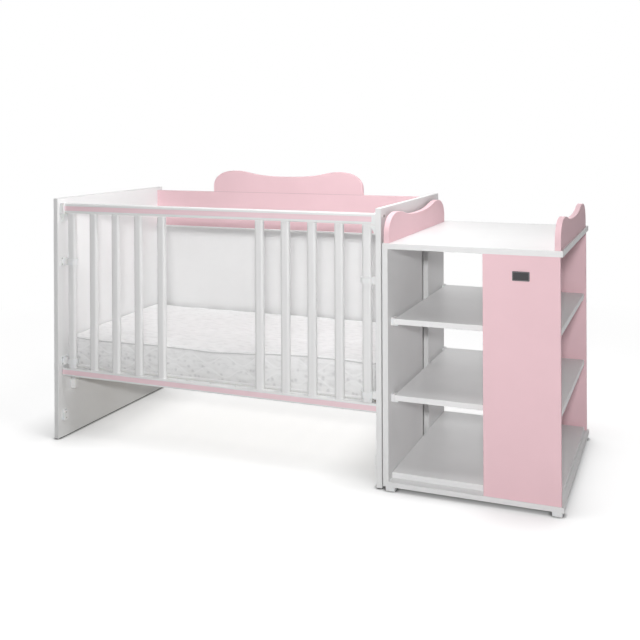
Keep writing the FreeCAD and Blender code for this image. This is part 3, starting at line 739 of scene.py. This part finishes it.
def add_sheet(cover, ring, on_top):
    """The top or the underside: a grid of faces inside one ring of the side."""
    grid = dict(zip(cover.rim, ring))
    for i, x in enumerate(cover.xs):
        for j, y in enumerate(cover.ys):
            if (i, j) not in grid:
                grid[i, j] = sheet_vertex(cover, x, y, on_top)
    for i in range(len(cover.xs) - 1):
        for j in range(len(cover.ys) - 1):
            places = [(i, j), (i + 1, j), (i + 1, j + 1), (i, j + 1)]
            if not on_top:
                places.reverse()
            flat = tuple((cover.xs[a], cover.ys[b]) for a, b in places)
            cover.face(tuple(grid[place] for place in places), flat, top_kind)


def mattress_cover(low, high):
    """The cover before it is blown up: a quilted band with seams, a quilted top and a flat underside."""
    cover = Cover(low, high)
    top_ring, bottom_ring = add_side(cover)
    add_sheet(cover, top_ring, True)
    add_sheet(cover, bottom_ring, False)
    return cover


def mattress_object(cover):
    """The cover as an object, with its flat coordinates."""
    data = bpy.data.meshes.new("mattress_cover")
    data.from_pydata(cover.points, [], cover.faces)
    data.polygons.foreach_set("material_index", cover.kinds)
    layer = data.uv_layers.new(name="flat")
    flats = np.array([uv for face in cover.flats for uv in face], np.float32)
    layer.data.foreach_set("uv", flats.ravel())
    for polygon in data.polygons:
        polygon.use_smooth = True
    mattress = bpy.data.objects.new("mattress_quilted", data)
    bpy.context.scene.collection.objects.link(mattress)
    return mattress


def add_cloth(mattress, pins):
    """A cloth modifier with a little pressure inside, held at the seams and quilting lines."""
    group = mattress.vertex_groups.new(name="held")
    for index, pin in enumerate(pins):
        group.add([index], min(1.0, pin), "REPLACE")
    cloth = mattress.modifiers.new("cloth", "CLOTH")
    settings = cloth.settings
    settings.quality = 5
    settings.mass = 0.15
    settings.tension_stiffness = 12.0
    settings.compression_stiffness = 12.0
    settings.shear_stiffness = 4.0
    settings.bending_stiffness = 0.4
    settings.use_pressure = True
    settings.uniform_pressure_force = 5.0
    settings.vertex_group_mass = "held"
    settings.pin_stiffness = 1.0
    settings.effector_weights.gravity = 0.0
    cloth.collision_settings.use_collision = False
    cloth.point_cache.frame_start = 1
    cloth.point_cache.frame_end = cloth_frames
    return cloth


def blow_up(mattress, pins):
    """Lets the cloth puff between its held lines, and keeps the shape, with no place moved too far."""
    cloth = add_cloth(mattress, pins)
    scene = bpy.context.scene
    for step in range(1, cloth_frames + 1):
        scene.frame_set(step)
    start = np.array([vertex.co for vertex in mattress.data.vertices])
    evaluated = mattress.evaluated_get(bpy.context.evaluated_depsgraph_get())
    moved = np.array([vertex.co for vertex in evaluated.data.vertices])
    mattress.modifiers.remove(cloth)
    scene.frame_set(1)
    travel = moved - start
    length = np.linalg.norm(travel, axis=1, keepdims=True)
    travel *= np.minimum(1.0, puff_limit / np.maximum(length, tiny))
    mattress.data.vertices.foreach_set("co", (start + travel).astype(np.float32).ravel())
    mattress.data.update()


def crumple(x, y, z):
    """Fine creases of the cover, drawn out along the mattress: a broad and a fine noise."""
    broad_place = [value * scale for value, scale in zip((x, y, z), crumple_broad)]
    fine_place = [value * scale for value, scale in zip((x, y, z), crumple_fine)]
    fine_place[0] += crumple_fine_offset
    broad = noise.noise(Vector(broad_place))
    fine = noise.noise(Vector(fine_place))
    return crumple_broad_share * broad + (1 - crumple_broad_share) * fine


def crease(mattress, pins, low):
    """Small creases in the free parts of the cover, none on its underside."""
    data = mattress.data
    for vertex, pin in zip(data.vertices, pins):
        if vertex.co.z < low.z + smooth_foot:
            continue
        amount = crumple_height * (1.0 - crumple_held_loss * min(1.0, pin))
        vertex.co += vertex.normal * amount * crumple(*vertex.co)
    data.update()


def make_mattress(top_finish):
    """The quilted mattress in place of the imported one."""
    low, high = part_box("mattress")
    high = high + Vector((mattress_spread, 0.0, 0.0))
    cover = mattress_cover(low, high)
    mattress = mattress_object(cover)
    # The seam's groove takes painted shade
    by_kind = {top_kind: top_finish, side_kind: knitted_cover("mattress_cover_side", True),
               tape_kind: binding_tape(), seam_shade_kind: seam_painted_shade()}
    for kind in sorted(by_kind):
        mattress.data.materials.append(by_kind[kind])
    blow_up(mattress, cover.pins)
    crease(mattress, cover.pins, low)
    smooth = mattress.modifiers.new("smooth", "SUBSURF")
    smooth.levels = 1
    smooth.render_levels = 1
    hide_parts("mattress")
    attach(mattress, "mattress")


# Studio

def camera_level(material, seen, other):
    """The first shader for rays that show the background as it is, and the second for all other light."""
    path = add(material, "ShaderNodeLightPath").outputs
    shown = path["Is Camera Ray"]
    for kind in ("Is Glossy Ray", "Is Transmission Ray"):
        shown = math_node(material, "MAXIMUM", shown, path[kind])
    return add(material, "ShaderNodeMixShader", {0: shown, 1: other, 2: seen}).outputs["Shader"]


def painted_shade_openness(material, reach):
    """1 where nothing stands over the floor within reach, 0 where all is covered; the mask of the floor's
    painted shade.
    """
    return add(material, "ShaderNodeAmbientOcclusion", {"Distance": reach}).outputs["AO"]


def floor_finish():
    """Pale paper: it takes the object's shadow, its glow has painted shade under the object and a painted
    dark line along its feet, and it is white far off.
    """
    material, shader = make_material("floor_paper", {})
    nodes = material.node_tree.nodes
    nodes.remove(shader)
    bounce = add(material, "ShaderNodeBsdfDiffuse", {"Color": grey(floor_bounce)}).outputs["BSDF"]
    paper = add(material, "ShaderNodeBsdfDiffuse", {"Color": grey(floor_paper)}).outputs["BSDF"]
    # Painted shade: the glow is dimmed where things stand over the floor
    lift = math_node(material, "MULTIPLY", painted_shade_openness(material, floor_painted_shade_reach), floor_lift)
    glow = add(material, "ShaderNodeEmission", {"Strength": lift}).outputs["Emission"]
    lit = add(material, "ShaderNodeAddShader", {0: paper, 1: glow}).outputs["Shader"]
    # Painted dark line where the object meets the floor
    painted_line_clear = painted_shade_openness(material, floor_painted_line_reach)
    painted_line_clear = math_node(material, "MULTIPLY", painted_line_clear, painted_line_clear)
    near = add(material, "ShaderNodeMixShader", {0: painted_line_clear, 2: lit}).outputs["Shader"]
    far = add(material, "ShaderNodeEmission", {"Strength": 1.0}).outputs["Emission"]
    place = add(material, "ShaderNodeTexCoord").outputs["Object"]
    away = vector_math(material, "LENGTH", "Value", place)
    fade = map_range(material, away, 0.0, 1.0, *floor_fade)
    seen = add(material, "ShaderNodeMixShader", {0: fade, 1: near, 2: far}).outputs["Shader"]
    join(material, camera_level(material, seen, bounce), nodes["Material Output"].inputs["Surface"])
    return material


def make_floor():
    ends = (-floor_half, floor_half)
    corners = [(x, y, 0.0) for y in ends for x in ends]
    data = bpy.data.meshes.new("floor")
    data.from_pydata(corners, [], [(0, 1, 3, 2)])
    floor = bpy.data.objects.new("floor", data)
    bpy.context.scene.collection.objects.link(floor)
    data.materials.append(floor_finish())


def make_world():
    """White to the eye; as light, a soft sky that is brightest straight behind the object."""
    world = bpy.data.worlds.new("studio")
    world.use_nodes = True
    nodes = world.node_tree.nodes
    way = split(world, add(world, "ShaderNodeTexCoord").outputs["Generated"])
    toward = math_node(world, "MAXIMUM", way["Y"], 0.0)
    share = math_node(world, "MULTIPLY", toward, toward)
    level = math_node(world, "MULTIPLY", share, sky_back)
    sky = nodes["Background"]
    sky.inputs["Color"].default_value = grey(1.0)
    join(world, level, sky.inputs["Strength"])
    backdrop = add(world, "ShaderNodeBackground", {"Strength": 1.0, "Color": grey(1.0)})
    surface = camera_level(world, backdrop.outputs["Background"], sky.outputs["Background"])
    join(world, surface, nodes["World Output"].inputs["Surface"])
    bpy.context.scene.world = world


def area_light(name, place, aim, size, watts):
    lamp = bpy.data.lights.new(name, "AREA")
    lamp.shape = "RECTANGLE"
    lamp.size, lamp.size_y = size
    lamp.energy = watts
    light = bpy.data.objects.new(name, lamp)
    light.location = place
    light.rotation_mode = "QUATERNION"
    light.rotation_quaternion = (Vector(aim) - Vector(place)).to_track_quat("-Z", "Y")
    bpy.context.scene.collection.objects.link(light)


def make_camera():
    """Looks level, turned to the left and rolled a little; the shift gives the photograph's framing."""
    data = bpy.data.cameras.new("camera")
    data.lens = camera_lens
    data.sensor_width = camera_sensor
    data.shift_y = camera_shift_y
    camera = bpy.data.objects.new("camera", data)
    bpy.context.scene.collection.objects.link(camera)
    turn = Matrix.Rotation(camera_yaw, 4, "Z") @ Matrix.Rotation(math.pi / 2, 4, "X")
    camera.matrix_world = Matrix.Translation(camera_place) @ turn @ Matrix.Rotation(camera_roll, 4, "Z")
    bpy.context.scene.camera = camera


for leftover in list(bpy.data.objects):
    bpy.data.objects.remove(leftover)
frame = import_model()
make_camera()
finishes = dress_nodes(frame["nodes"])
make_mattress(finishes["mattress_cover"])
make_floor()
make_world()
for name, light in lights.items():
    area_light(name, **light)
bpy.context.scene.view_settings.view_transform = "Standard"
